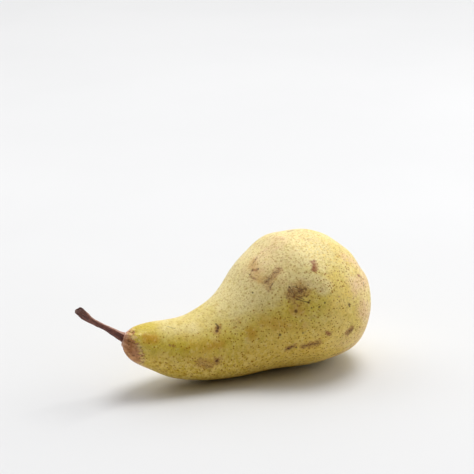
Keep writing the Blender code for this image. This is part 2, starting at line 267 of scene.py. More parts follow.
# Soft marks in the skin: layer, ends (% of length, angle), core width, fade, strength
MARKS = (
    ("bruise", (63.8, 143.5), (67.6, 144.5), 2.8, 4.0, 0.92),
    ("bruise", (66.0, 141.5), (68.4, 141.0), 1.5, 3.0, 0.70),
    ("bruise", (62.0, 144), (68.0, 149), 2.5, 4.5, 0.46),
    ("bruise", (70.0, 145), (74.5, 151), 1.0, 3.6, 0.22),
    ("bruise", (62.5, 150), (65.5, 156), 1.2, 4.2, 0.52),
    ("bruise", (59.8, 120), (64.8, 118), 1.4, 3.2, 0.80),
    ("bruise", (58.8, 127), (61.0, 122), 1.0, 3.0, 0.66),
    ("bruise", (62.0, 126), (64.0, 131), 1.0, 4.0, 0.45),
    ("bruise", (24.9, 189), (28.7, 194), 2.0, 2.6, 0.78),
    ("bruise", (30.8, 187), (30.9, 187), 1.2, 2.4, 1.0),
    ("bruise", (32.9, 140), (33.8, 136), 1.0, 1.8, 1.0),
    ("bruise", (60.6, 196), (65.6, 195), 1.3, 1.9, 0.95),
    ("bruise", (55.2, 194), (57.5, 192), 0.9, 1.6, 0.92),
    ("bruise", (76.8, 198), (78.8, 197), 1.2, 1.7, 1.05),
    ("rust", (69.1, 186.5), (70.0, 189), 0.9, 1.7, 0.72),
    ("bruise", (69.1, 186.5), (70.0, 189), 1.0, 2.0, 0.45),
    ("rust", (78.3, 131), (76.5, 135.5), 1.3, 1.4, 1.05),
    ("bruise", (76.6, 134.5), (76.4, 135.6), 1.0, 1.4, 0.75),
    ("rust", (59.2, 100), (60.4, 104), 0.4, 1.6, 0.6),
    ("rust", (61.6, 93), (61.7, 93), 0.4, 1.5, 0.5),
    ("rust", (57.5, 101), (57.6, 101), 0.4, 1.4, 0.45),
    ("rust", (85.3, 76), (86.1, 76), 0.5, 1.5, 0.8),
    ("rust", (74.5, 86), (75.8, 91), 0.5, 2.4, 0.34),
    # Pink marks: partly the skin's own pinkish tone, partly painted light: a lighter upper flank beside the neck, and
    # pale bands along the bulb's lower edge as painted reflection.
    ("pink", (60.0, 100), (74.0, 92), 6.0, 9.0, 0.50),
    ("pink", (64.0, 118), (74.0, 112), 3.0, 7.0, 0.32),
    ("rust", (63.8, 152), (62.6, 157), 0.8, 2.6, 0.42),
    ("pink", (86.5, 192), (89.0, 240), 2.5, 6.5, 1.0),
    ("pink", (83.6, 221), (70.0, 234), 1.2, 4.4, 0.95),
    ("rust", (92.0, 164), (93.3, 168), 0.4, 2.2, 0.62),
    ("rust", (92.5, 177), (92.1, 180), 0.4, 1.8, 0.55),
    ("rust", (12.3, 159), (15.2, 159), 0.3, 1.3, 0.4),
    ("rust", (40.9, 144), (42.5, 139), 0.4, 1.9, 0.55),
    ("rust", (64.9, 191), (65.4, 191), 0.2, 1.1, 0.5),
    ("rust", (69.5, 147), (74.5, 153), 0.6, 3.0, 0.36),
    ("ochre", (28.3, 162), (33.6, 163), 1.0, 3.2, 0.75),
    ("ochre", (20.7, 166), (34.2, 161), 1.5, 6.5, 0.5),
    ("ochre", (45.1, 157), (45.2, 162), 1.0, 4.4, 0.85),
    ("ochre", (42.0, 142), (45.0, 150), 1.0, 4.5, 0.4),
    ("ochre", (61.2, 156), (63.4, 160), 1.2, 3.6, 0.6),
    ("ochre", (60.8, 94), (58.5, 113), 2.0, 4.5, 0.55),
    ("ochre", (4.9, 149), (6.9, 149), 1.5, 2.8, 0.95),
    ("ochre", (90.0, 130), (93.0, 175), 2.0, 7.0, 0.35),
    ("ochre", (50.6, 153), (61.5, 172), 2.0, 6.5, 0.5),
    ("ochre", (58.0, 205), (74.0, 205), 2.0, 5.5, 0.35),
    ("green", (8.6, 168), (18.8, 170), 3.0, 7.0, 0.9),
    ("green", (12.0, 215), (34.0, 215), 3.0, 7.0, 0.55),
    ("green", (66.0, 165), (76.0, 172), 3.0, 8.0, 0.12),
    ("green", (30.0, 20), (48.0, 350), 5.0, 12.0, 0.7),
    # painted shade: the neck's top made darker and greener, as if shaded from behind
    ("green", (6.0, 102), (44.0, 98), 9.0, 12.0, 1.0),
    ("green", (60.0, 300), (72.0, 330), 5.0, 14.0, 0.6),
    # more pink: the skin's pinkish tone, and painted light and reflection on the bulb's end and lower edge
    ("pink", (88.0, 168), (97.0, 190), 2.0, 7.0, 0.8),
    ("pink", (76.0, 208), (85.0, 214), 3.5, 8.0, 0.55),
    ("pink", (93.0, 140), (97.0, 165), 2.0, 5.0, 0.7),
    ("pink", (74.0, 84), (77.0, 92), 1.5, 4.5, 0.6),
    ("pink", (84.0, 100), (90.0, 112), 2.0, 6.0, 0.4),
    ("fleck", (85.0, 118), (92.0, 150), 5.0, 8.0, 1.0),
    ("fleck", (86.0, 100), (88.0, 112), 3.0, 6.0, 0.8),
    # the far side, the underside and the rounded end have their own
    ("bruise", (55.0, 30), (57.5, 24), 0.8, 2.4, 0.7),
    ("bruise", (74.0, 350), (77.0, 352), 0.5, 1.6, 0.75),
    ("bruise", (38.0, 345), (40.0, 350), 0.6, 2.0, 0.6),
    ("bruise", (66.0, 285), (71.0, 292), 0.6, 1.8, 0.6),
    ("rust", (80.0, 20), (84.0, 28), 0.8, 3.6, 0.5),
    ("rust", (68.0, 48), (69.5, 50), 0.4, 1.8, 0.7),
    ("rust", (87.0, 320), (90.0, 332), 0.8, 3.4, 0.45),
    ("rust", (47.0, 8), (48.2, 10), 0.4, 1.5, 0.6),
    ("rust", (24.0, 335), (27.0, 340), 0.5, 2.2, 0.5),
    ("ochre", (64.0, 15), (76.0, 30), 3.0, 9.0, 0.5),
    ("ochre", (20.0, 350), (32.0, 10), 2.0, 7.0, 0.5),
    ("ochre", (82.0, 290), (90.0, 340), 3.0, 9.0, 0.5),
)

# Small, sharp marks: ends (% of length, angle), half width, strength
SCRATCHES = (
    ((64.4, 149), (67.1, 156), 0.20, 1.0),
    ((65.1, 148), (66.3, 152), 0.16, 0.8),
    ((64.5, 136), (64.5, 141), 0.15, 0.7),
    ((66.0, 140), (67.6, 144), 0.16, 0.7),
    ((12.6, 111), (15.6, 119), 0.11, 0.6),
    ((33.7, 129), (34.2, 135), 0.30, 0.8),
    ((36.0, 20), (41.0, 28), 0.18, 0.8),
    ((70.0, 5), (73.0, 359), 0.18, 0.8),
)
# Ragged streaks: colour, ends (% of length, angle), half width
STREAKS = (
    ("dark", (63.5, 139), (64.5, 143), 0.40),
    ("dark", (64.5, 145), (67.3, 145), 0.55),
    ("dark", (66.1, 144), (68.5, 145), 0.50),
    ("dark", (65.4, 149), (67.0, 149), 0.35),
    ("dark", (64.0, 145), (64.2, 149), 0.35),
    ("dark", (64.6, 137), (66.7, 140), 0.30),
    ("dark", (55.2, 194), (57.1, 193), 0.50),
    ("dark", (63.1, 195), (65.5, 195), 0.42),
    ("dark", (60.4, 195), (62.8, 196), 0.28),
    ("dark", (77.2, 200), (79.0, 198), 0.50),
    ("dark", (71.3, 222), (76.0, 227), 0.35),
    ("dark", (59.2, 120), (61.2, 119), 0.32),
    ("dark", (59.4, 127), (60.9, 125), 0.28),
    ("dark", (63.6, 118), (64.8, 119), 0.42),
    ("dark", (60.6, 95), (63.7, 92), 0.26),
    ("dark", (93.2, 177), (91.7, 181), 0.24),
    ("red", (69.2, 187), (70.2, 190), 0.50),
    ("red", (77.3, 128), (79.3, 129), 0.50),
    ("red", (77.6, 131), (75.8, 134), 0.55),
    ("red", (75.1, 135), (75.5, 136), 0.55),
    ("red", (59.2, 100), (59.3, 100), 0.60),
    ("red", (60.1, 104), (60.2, 104), 0.60),
    ("red", (57.2, 103), (57.6, 109), 0.35),
    ("red", (92.7, 165), (93.8, 171), 0.45),
    ("red", (83.9, 78), (85.7, 77), 0.50),
    ("red", (12.7, 159), (15.0, 160), 0.40),
    ("red", (54.0, 28), (57.0, 25), 0.45),
    ("red", (80.0, 22), (83.0, 27), 0.40),
    ("dark", (74.0, 350), (76.5, 352), 0.35),
    ("dark", (66.5, 286), (70.0, 291), 0.35),
)
DOTS = (
    (67.2, 156, 0.62), (67.5, 151, 0.42), (67.8, 155, 0.5), (72.3, 162, 0.55), (69.7, 163, 0.55), (67.2, 161, 0.42),
    (62.2, 158, 0.95), (81.4, 175.5, 0.75), (81.2, 177, 0.55), (53.8, 119, 0.5), (61.5, 180, 0.5), (54.3, 174, 0.75),
    (58.2, 195, 0.6), (30.8, 187, 0.85), (32.9, 140.5, 0.85), (33.7, 136.5, 0.75), (57.5, 101, 0.5), (59.2, 100, 0.5),
    (60.6, 104, 0.5), (55.6, 193.6, 0.5), (78.0, 197.5, 0.6), (46.0, 15, 0.7), (71.0, 40, 0.6), (82.0, 350, 0.7),
    (58.0, 330, 0.6), (36.0, 300, 0.6), (90.0, 60, 0.6), (76.0, 310, 0.6),
)


def srgb(r, g, b):
    """An 8-bit display colour as the linear colour a shader takes."""
    return tuple(c / 12.92 if c <= 0.04045 else ((c + 0.055) / 1.055) ** 2.4 for c in (r / 255, g / 255, b / 255)) + (1.0,)


class Graph:
    """Short names for building a material out of nodes."""

    def __init__(self, name):
        self.material = bpy.data.materials.new(name)
        self.material.use_nodes = True
        self.tree = self.material.node_tree
        self.shader = self.tree.nodes["Principled BSDF"]

    def put(self, socket, value):
        if isinstance(value, bpy.types.NodeSocket):
            self.tree.links.new(value, socket)
        elif value is not None:
            socket.default_value = value

    def set(self, name, value):
        self.put(self.shader.inputs[name], value)

    def math(self, operation, a, b=None, c=None, clamp=False):
        node = self.tree.nodes.new("ShaderNodeMath")
        node.operation, node.use_clamp = operation, clamp
        for socket, value in zip(node.inputs, (a, b, c)):
            self.put(socket, value)
        return node.outputs[0]

    def add(self, a, b):
        return self.math("ADD", a, b)

    def mul(self, a, b):
        return self.math("MULTIPLY", a, b)

    def vector(self, operation, a, b=None, scale=None):
        node = self.tree.nodes.new("ShaderNodeVectorMath")
        node.operation = operation
        self.put(node.inputs[0], a)
        if b is not None:
            self.put(node.inputs[1], b)
        if scale is not None:
            self.put(node.inputs["Scale"], scale)
        return node.outputs["Value" if operation in ("DOT_PRODUCT", "DISTANCE", "LENGTH") else "Vector"]

    def object_mm(self):
        node = self.tree.nodes.new("ShaderNodeTexCoord")
        return self.vector("SCALE", node.outputs["Object"], scale=1000.0)

    def attribute(self, name, output="Fac"):
        node = self.tree.nodes.new("ShaderNodeAttribute")
        node.attribute_name = name
        return node.outputs[output]

    def noise(self, p, size, detail=2.0, roughness=0.5, distortion=0.0, output=0):
        """Noise with features of about size mm; around 0.5, mostly from 0.3 to 0.7."""
        node = self.tree.nodes.new("ShaderNodeTexNoise")
        self.put(node.inputs["Vector"], p)
        for name, value in (("Scale", 1.0 / size), ("Detail", detail), ("Roughness", roughness), ("Distortion", distortion)):
            node.inputs[name].default_value = value
        return node.outputs[output]

    def voronoi(self, p, size, feature="F1", randomness=1.0):
        node = self.tree.nodes.new("ShaderNodeTexVoronoi")
        node.feature = feature
        self.put(node.inputs["Vector"], p)
        node.inputs["Scale"].default_value = 1.0 / size
        node.inputs["Randomness"].default_value = randomness
        return node.outputs["Distance"], node.outputs.get("Color")

    def step(self, x, a, b, low=0.0, high=1.0):
        node = self.tree.nodes.new("ShaderNodeMapRange")
        node.interpolation_type = "SMOOTHSTEP"
        for name, value in (("Value", x), ("From Min", a), ("From Max", b), ("To Min", low), ("To Max", high)):
            self.put(node.inputs[name], value)
        return node.outputs["Result"]

    def mix(self, share, a, b, blend="MIX"):
        node = self.tree.nodes.new("ShaderNodeMix")
        node.data_type, node.blend_type, node.clamp_factor = "RGBA", blend, True
        self.put(node.inputs[0], share)
        self.put(node.inputs[6], a)
        self.put(node.inputs[7], b)
        return node.outputs[2]

    def channel(self, colour, which):
        node = self.tree.nodes.new("ShaderNodeSeparateColor")
        self.put(node.inputs[0], colour)
        return node.outputs[which]

    def least(self, values):
        total = values[0]
        for value in values[1:]:
            total = self.math("MINIMUM", total, value)
        return total

    def segment(self, p, a, b):
        """Distance in mm from the segment a-b."""
        ab = b - a
        offset = self.vector("SUBTRACT", p, tuple(a))
        share = self.math("MULTIPLY", self.vector("DOT_PRODUCT", offset, tuple(ab)), float(1 / max(ab @ ab, 1e-9)), clamp=True)
        return self.vector("DISTANCE", offset, self.vector("SCALE", tuple(ab), scale=share))

    def bump(self, height, distance, strength=1.0):
        node = self.tree.nodes.new("ShaderNodeBump")
        node.inputs["Strength"].default_value = strength
        node.inputs["Distance"].default_value = distance
        self.put(node.inputs["Height"], height)
        return node.outputs["Normal"]


def skin_material(p, u):
    g = Graph("pear_skin")
    at = g.object_mm()
    warp = g.vector("SCALE", g.vector("SUBTRACT", g.noise(at, 4.0, 4, 0.6, output=1), (0.5, 0.5, 0.5)), scale=3.4)
    bent = g.vector("ADD", at, warp)
    near = g.vector("ADD", at, g.vector("SCALE", warp, scale=0.13))  # small marks keep their place, not their straight edges

    def layer(name, size, amount, low, high, detail=4, roughness=0.65):
        """A painted mask broken up by noise."""
        ragged = g.mul(g.add(g.noise(bent, size, detail, roughness), -0.5), amount)
        return g.step(g.add(g.attribute(name), ragged), low, high)

    # Yellow-green ground: broad drifts of warm yellow, olive and pale straw, then mottling, then a fine grain.
    broad = g.noise(bent, 24, 2, 0.5)
    mid = g.noise(bent, 8, 4, 0.6)
    small = g.noise(at, 1.9, 4, 0.7)
    grain = g.noise(at, 0.75, 3, 0.7)
    colour = g.mix(g.step(broad, 0.36, 0.64), srgb(*GROUND_GREEN), srgb(*GROUND_YELLOW))
    colour = g.mix(g.mul(g.step(mid, 0.52, 0.70), 0.55), colour, srgb(*GROUND_PALE))
    colour = g.mix(g.mul(g.step(mid, 0.47, 0.30), 0.45), colour, srgb(*GROUND_OLIVE))
    # The green layer is partly the skin's own green patches and partly painted shade on the neck's top.
    colour = g.mix(g.mul(layer("green", 7, 0.8, 0.25, 0.9), 0.62), colour, srgb(*GREEN_AND_PAINTED_SHADE))
    # Painted shade: the deep layer makes the underside and lower flank deeper and more saturated.
    colour = g.mix(g.mul(layer("deep", 6, 0.9, 0.15, 0.95), 0.60), colour, srgb(*DEEP_PAINTED_SHADE))
    # Painted light: the pale layer makes the upper side and the bulb's end paler, and paints a pale highlight spot
    # beside the bruise.
    colour = g.mix(g.mul(layer("pale", 7, 0.8, 0.12, 1.05), 0.72), colour, srgb(*PAINTED_LIGHT_PALE))
    colour = g.mix(g.mul(layer("ochre", 4, 1.0, 0.15, 0.85), 0.72), colour, srgb(*OCHRE))
    # The pink layer: the skin's pinkish tone, partly painted light on the upper flank and lower edges.
    colour = g.mix(g.mul(layer("pink", 3, 0.9, 0.2, 0.85), 0.60), colour, srgb(*PINK_AND_PAINTED_LIGHT))
    colour = g.mix(g.mul(g.step(g.noise(bent, 3.2, 4, 0.65), 0.55, 0.72), 0.28), colour, srgb(*BLOTCH))
    colour = g.mix(g.step(small, 0.50, 0.32, 0.0, 0.36), colour, srgb(*GRAIN))
    colour = g.mix(g.step(small, 0.52, 0.70, 0.0, 0.46), colour, srgb(*GLEAM))
    colour = g.mix(g.step(grain, 0.48, 0.68, 0.0, 0.46), colour, srgb(*GRAIN))

    # Underneath and on the turned-down side of the neck the skin is coarse: straw blotches between dark dots.
    coarse = g.attribute("coarse")
    patch = g.step(g.noise(at, 2.0, 4, 0.72), 0.47, 0.56)
    colour = g.mix(g.mul(g.mul(patch, coarse), 0.80), colour, srgb(*STRAW))

    # Lenticels: small corky dots of uneven size, closer and darker where the skin is coarse.
    def lenticels(size, low, high, share):
        distance, cell = g.voronoi(near, size)
        reach = g.add(g.mul(g.channel(cell, 1), high - low), low)
        dot = g.step(g.math("DIVIDE", distance, reach), 1.0, 0.5)
        return g.mul(dot, g.math("LESS_THAN", g.channel(cell, 0), share))

    crowded = g.step(g.vector("DOT_PRODUCT", at, (1.0, 0.0, 0.0)), -10.0, 38.0, 0.50, 1.0)
    fine = lenticels(1.22, 0.23, 0.46, crowded)
    more = g.mul(lenticels(1.20, 0.30, 0.50, 0.75), g.step(coarse, 0.25, 0.8))
    faint = g.step(g.attribute("upper"), 0.2, 1.0, 1.0, 0.58)
    colour = g.mix(g.mul(g.mul(fine, faint), LENTICEL_SHARE), colour, srgb(*LENTICEL))
    colour = g.mix(g.mul(more, 0.66), colour, srgb(*LENTICEL))
    halo_at, halo_cell = g.voronoi(near, 2.6)
    halo = g.mul(g.step(halo_at, 0.42, 0.16), g.math("LESS_THAN", g.channel(halo_cell, 0), 0.5))
    colour = g.mix(g.mul(halo, 0.30), colour, srgb(*HALO))
    fleck_at, fleck_cell = g.voronoi(near, 1.25)
    fleck = g.mul(g.step(fleck_at, 0.46, 0.2), g.math("LESS_THAN", g.channel(fleck_cell, 0), 0.6))
    colour = g.mix(g.mul(g.mul(fleck, g.attribute("fleck")), 0.72), colour, srgb(*FLECK))

    # Scuffs, bruises and rusty patches.
    soft = layer("bruise", 3.0, 1.7, 0.10, 0.85)
    streaky = g.vector("MULTIPLY", near, (1.0, 0.6, 1.7))
    hard = g.mul(layer("bruise", 1.5, 2.8, 0.46, 1.0, 5, 0.75), g.step(g.noise(streaky, 0.8, 4, 0.75), 0.60, 0.40, 0.12, 1.0))
    colour = g.mix(g.mul(soft, 0.50), colour, srgb(*BRUISE))
    colour = g.mix(g.mul(hard, 0.72), colour, srgb(*BRUISE_DARK))
    rusty = g.mul(layer("rust", 1.5, 2.4, 0.36, 0.86, 5, 0.75), g.step(g.noise(near, 0.9, 4, 0.7), 0.66, 0.40, 0.5, 1.0))
    colour = g.mix(g.mul(rusty, 0.80), colour, srgb(*RUST))

    # The brown-pink corky cap at the stem, flaking into the skin at its edge, and the russet in the calyx basin.
    speckle = g.noise(bent, 1.5, 4, 0.7)
    cap = g.attribute("cap")
    drawn = g.vector("MULTIPLY", g.vector("ADD", at, g.vector("SCALE", warp, scale=0.5)), (0.5, 1.0, 1.0))
    covered = g.step(g.add(cap, g.mul(g.add(g.noise(drawn, 1.4, 5, 0.75), -0.5), 2.8)), 0.46, 0.56)
    edge = g.mul(g.step(cap, 0.05, 0.45), g.step(cap, 0.98, 0.6))
    flake = g.step(g.noise(drawn, 1.5, 4, 0.65), 0.50, 0.54)
    split = g.step(g.noise(g.vector("ADD", drawn, (7.0, 3.0, 5.0)), 1.1, 4, 0.65), 0.54, 0.61)
    streak = g.noise(g.vector("MULTIPLY", bent, (1.0, 0.45, 0.45)), 1.6, 3, 0.6)
    corky = g.mix(g.step(streak, 0.36, 0.66), srgb(*CAP_BROWN), srgb(*CAP_TAN))
    corky = g.mix(g.mul(g.step(g.noise(at, 5, 2), 0.42, 0.62), 0.55), corky, srgb(*CAP_PINK))
    colour = g.mix(g.mul(covered, 0.92), colour, corky)
    colour = g.mix(g.mul(g.mul(edge, flake), 0.92), colour, srgb(*FLAKE))
    colour = g.mix(g.mul(g.mul(g.step(cap, 0.1, 0.5), split), 0.62), colour, srgb(*CREVICE))
    # The rim mask: pale pink on the lip bead round the stem, and a painted rim light along the cap's lower edge.
    colour = g.mix(g.mul(g.attribute("rim"), 0.9), colour, g.mix(g.step(speckle, 0.4, 0.6), srgb(*LIP_AND_RIM_LIGHT), srgb(*CAP_PINK)))
    cork = g.step(g.add(g.attribute("basin"), g.mul(g.add(g.noise(bent, 3.2, 4, 0.65), -0.5), 1.0)), 0.3, 0.75)
    colour = g.mix(g.mul(cork, 0.8), colour, g.mix(g.step(speckle, 0.35, 0.65), srgb(122, 90, 46), srgb(164, 130, 74)))

    # Streaks and small ragged spots inside the scuffs.
    loose = g.vector("ADD", at, g.vector("SCALE", warp, scale=0.34))
    crumbly = g.step(g.noise(near, 0.8, 4, 0.75), 0.40, 0.58, 0.12, 1.0)

    def streaks(kind):
        lines = [g.math("DIVIDE", g.segment(loose, place(p, u, *a), place(p, u, *b)), wide) for which, a, b, wide in STREAKS if which == kind]
        return g.mul(g.step(g.least(lines), 2.3, 0.4), crumbly)

    dark, red = streaks("dark"), streaks("red")
    colour = g.mix(g.mul(red, 0.85), colour, srgb(*RED_STREAK))
    colour = g.mix(g.mul(dark, 0.80), colour, srgb(*DARK_STREAK))

    # Sharp scratches and single dark specks.
    lines = [g.math("DIVIDE", g.segment(near, place(p, u, *a), place(p, u, *b)), wide) for a, b, wide, _ in SCRATCHES]
    scratch = g.step(g.least(lines), 1.9, 0.5)
    specks = [g.math("DIVIDE", g.vector("DISTANCE", near, tuple(place(p, u, s, a))), size) for s, a, size in DOTS]
    speck = g.step(g.least(specks), 1.25, 0.40)
    colour = g.mix(g.mul(scratch, 0.74), colour, srgb(*SCRATCH))
    colour = g.mix(g.mul(speck, 0.82), colour, srgb(*SPECK))

    g.set("Base Color", colour)
    worn = g.math("MAXIMUM", g.math("MAXIMUM", covered, hard), cork)
    g.set("Roughness", g.add(g.add(g.mul(worn, 0.2), g.mul(fine, 0.14)), g.step(g.noise(at, 6, 3), 0.3, 0.7, SKIN_ROUGHNESS - 0.05, SKIN_ROUGHNESS + 0.07)))
    height = g.add(g.mul(g.noise(at, 1.4, 3, 0.6), 0.6), g.mul(g.noise(at, 0.45, 2, 0.5), 0.22))
    height = g.add(height, g.mul(g.math("MAXIMUM", fine, more), -0.30))
    height = g.add(height, g.mul(g.math("MAXIMUM", covered, cork), g.mul(speckle, 1.1)))
    height = g.add(height, g.mul(g.mul(edge, flake), 0.5))
    height = g.add(height, g.mul(hard, g.mul(speckle, -0.8)))
    height = g.add(height, g.mul(g.math("MAXIMUM", scratch, speck), -0.7))
    g.set("Normal", g.bump(height, 0.00026, 0.6))
    g.set("Subsurface Weight", 0.08)
    g.set("Subsurface Radius", (1.0, 0.62, 0.22))
    g.set("Subsurface Scale", 0.0014)
    g.set("Specular IOR Level", 0.22)
    return g.material


# ------------------------------------------------------------------ colours of the skin (display values)
GROUND_GREEN = (231, 208, 90)
GROUND_YELLOW = (243, 213, 106)
GROUND_PALE = (248, 230, 152)
GROUND_OLIVE = (214, 182, 66)
# green patches of the skin, and painted shade on the neck's top
GREEN_AND_PAINTED_SHADE = (206, 187, 50)
# painted shade on the underside and lower flank
DEEP_PAINTED_SHADE = (218, 180, 58)
# painted light: the paler upper side and bulb end, and the pale spot
PAINTED_LIGHT_PALE = (250, 236, 184)
OCHRE = (208, 150, 40)
# pinkish tone, partly painted light on the upper flank and lower edges
PINK_AND_PAINTED_LIGHT = (238, 196, 162)
BLOTCH = (206, 158, 54)
GRAIN = (174, 136, 38)
GLEAM = (250, 234, 160)
STRAW = (244, 218, 124)
LENTICEL, LENTICEL_SHARE = (170, 112, 0), 0.94
HALO = (188, 162, 38)
FLECK = (244, 212, 104)
BRUISE = (192, 136, 76)
BRUISE_DARK = (120, 66, 36)
DARK_STREAK = (90, 48, 28)
RED_STREAK = (146, 82, 50)
RUST = (160, 94, 56)
CAP_BROWN = (168, 102, 64)
CAP_TAN = (216, 158, 108)
CAP_PINK = (190, 132, 104)
FLAKE = (246, 214, 140)
CREVICE = (88, 58, 16)
# pale pink of the lip bead, and a painted rim light on the cap's edge
LIP_AND_RIM_LIGHT = (232, 196, 176)
SCRATCH = (76, 48, 30)
SPECK = (82, 46, 10)
SKIN_ROUGHNESS = 0.42


def new_object(name, vertices, faces, material):
    mesh = bpy.data.meshes.new(name)
    mesh.from_pydata([tuple(v) for v in vertices], [], faces)
    mesh.update()
    made = bpy.data.objects.new(name, mesh)
    bpy.context.scene.collection.objects.link(made)
    mesh.materials.append(material)
    mesh.shade_smooth()
    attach(made, "root")
    return made


def closed_grid(p, caps=True):
    """Vertices and faces of a closed surface of rings, each end filled by a fan, with its UV grid."""
    rows, n = p.shape[:2]
    vertices = list(p.reshape(-1, 3))
    faces, uv = [], []
    for i in range(rows - 1):
        for j in range(n):
            k = (j + 1) % n
            faces.append((i * n + j, i * n + k, (i + 1) * n + k, (i + 1) * n + j))
            uv.append(((i, j), (i, j + 1), (i + 1, j + 1), (i + 1, j)))
    if caps:
        first, last = len(vertices), len(vertices) + 1
        vertices += [p[0].mean(0), p[-1].mean(0)]
        for j in range(n):
            k = (j + 1) % n
            faces.append((first, k, j))
            uv.append(((-1, j + 0.5), (0, j + 1), (0, j)))
            faces.append((last, (rows - 1) * n + j, (rows - 1) * n + k))
            uv.append(((rows, j + 0.5), (rows - 1, j), (rows - 1, j + 1)))
    return vertices, faces, uv


def outward(vertices, faces, uv):
    """Turns every face over if the surface is inside out."""
    v = np.array(vertices, float)
    total = 0.0
    for f in faces:
        a = v[f[0]]
        for i in range(1, len(f) - 1):
            total += float(np.dot(a, np.cross(v[f[i]], v[f[i + 1]])))
    if total < 0:
        faces = [tuple(reversed(f)) for f in faces]
        uv = [tuple(reversed(c)) for c in uv]
    return faces, uv


def write_uv(mesh, uv, across, sides):
    """A map for the skin: across runs along the profile, and the other way is once round."""
    layer = mesh.uv_layers.new(name="OFBake")
    flat = []
    for corners in uv:
        for i, j in corners:
            x = np.interp(i, np.arange(len(across)), across)
            flat += [0.004 + 0.992 * float(x), 0.004 + 0.992 * j / sides]
    layer.data.foreach_set("uv", flat)


def write_mask(mesh, name, values):
    made = mesh.attributes.new(name, "FLOAT", "POINT")
    made.data.foreach_set("value", np.asarray(values, np.float32))


def build_fruit():
    p, u, r, sink, along = skin_points()
    vertices, faces, uv = closed_grid(p * MM)
    faces, uv = outward(vertices, faces, uv)
    made = new_object("pear_fruit", vertices, faces, skin_material(p, u))
    write_uv(made.data, uv, along / along[-1], SIDES)
    ends = [p[0].mean(0), p[-1].mean(0)]
    at = np.concatenate([p.reshape(-1, 3), ends])
    masks = {name: np.zeros(len(at)) for name in ("bruise", "rust", "ochre", "green", "pink", "fleck")}
    for layer, a, b, wide, fade, strength in MARKS:
        d = capsule(at, place(p, u, *a), place(p, u, *b))
        masks[layer] = np.maximum(masks[layer], strength * np.clip(1 - (d - wide * 0.5) / (wide * 0.5 + fade), 0, 1))
    share = np.concatenate([np.repeat(u, SIDES), [u[0], u[-1]]])
    ring = np.concatenate([np.repeat(r, SIDES), [0, 0]])
    degrees = np.concatenate([np.tile(np.arange(SIDES) * 360 / SIDES, RINGS), [0, 0]])
    # How far the corky cap reaches from the stem: further down the front and underneath than on top.
    reach = np.interp(degrees, (0, 45, 90, 140, 175, 205, 240, 280, 320, 360), (1.6, 0.9, 0.3, 0.9, 2.8, 5.8, 6.6, 6.2, 4.2, 1.6))
    masks["cap"] = np.where(share < 0.5, step(share * 100, reach + 2.4, np.maximum(reach - 2.4, 0)), 0)
    masks["cap"] = np.maximum(masks["cap"], np.where(share < 0.5, step(ring, 4.6, 3.0), 0))
    masks["basin"] = np.where(share > 0.7, np.maximum(step(ring, 8.5, 3.5), 0.42 * step(ring, 15, 7)), 0)
    turn = lambda middle: np.cos(np.radians(degrees - middle))
    # The rim mask: the lip bead, and a band along the cap's edge on the lower side, which is a painted rim light.
    brow = np.interp(degrees, (0, 40, 90, 200, 240, 270, 315, 360), (3.9, 3.6, 3.4, 11.5, 10.4, 8.6, 5.4, 3.9))
    masks["rim"] = np.where(share < 0.5, np.maximum(bell(ring, 3.2, 0.9), bell(ring, brow, 1.2) * step(turn(312), 0.1, 0.7)), 0)
    body = step(share * 100, 5, 11) * step(share * 100, 99, 88)
    # Painted light: paler on the upper side, over most of the bulb except underneath, and all round the bulb's end.
    masks["pale"] = body * step(turn(97), 0.35, 0.98) * (0.62 + 0.38 * step(share * 100, 30, 50))
    masks["pale"] = np.maximum(masks["pale"], 0.40 * step(share * 100, 58, 76) * step(turn(97), -1.0, -0.2) * step(share * 100, 101, 96))
    masks["pale"] = np.maximum(masks["pale"], 0.68 * step(share * 100, 71, 92) * step(share * 100, 101, 96))
    # A painted highlight: a pale spot beside the bruise, over skin that the form shades.
    painted_highlight_spot = capsule(at, place(p, u, 71.0, 137), place(p, u, 75.5, 150))
    masks["pale"] = np.maximum(masks["pale"], 0.95 * np.clip(1 - (painted_highlight_spot - 2.5) / 5.5, 0, 1))
    # Painted shade: the underside and lower flank made deeper, less so on the bulb.
    masks["deep"] = body * step(turn(235), 0.0, 0.95) * (1 - 0.45 * step(share * 100, 50, 72))
    masks["upper"] = step(turn(92), 0.4, 0.98)
    neck = step(share * 100, 60, 34)
    masks["coarse"] = step(share * 100, 6, 12) * step(turn(232), 0.35, 0.9) * (0.45 + 0.55 * neck)
    for name, values in masks.items():
        write_mask(made.data, name, values)
    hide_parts("fruit")
    return p, u


# ------------------------------------------------------------------ stem
def lip():
    """The share of the length where the stem's socket has its mouth, as in the CAD model."""
    u = (1 - np.cos(np.linspace(0, math.pi, 58))) / 2
    r = radius(u)
    return float(np.interp(SOCKET_LIP, r[:6], u[:6]))


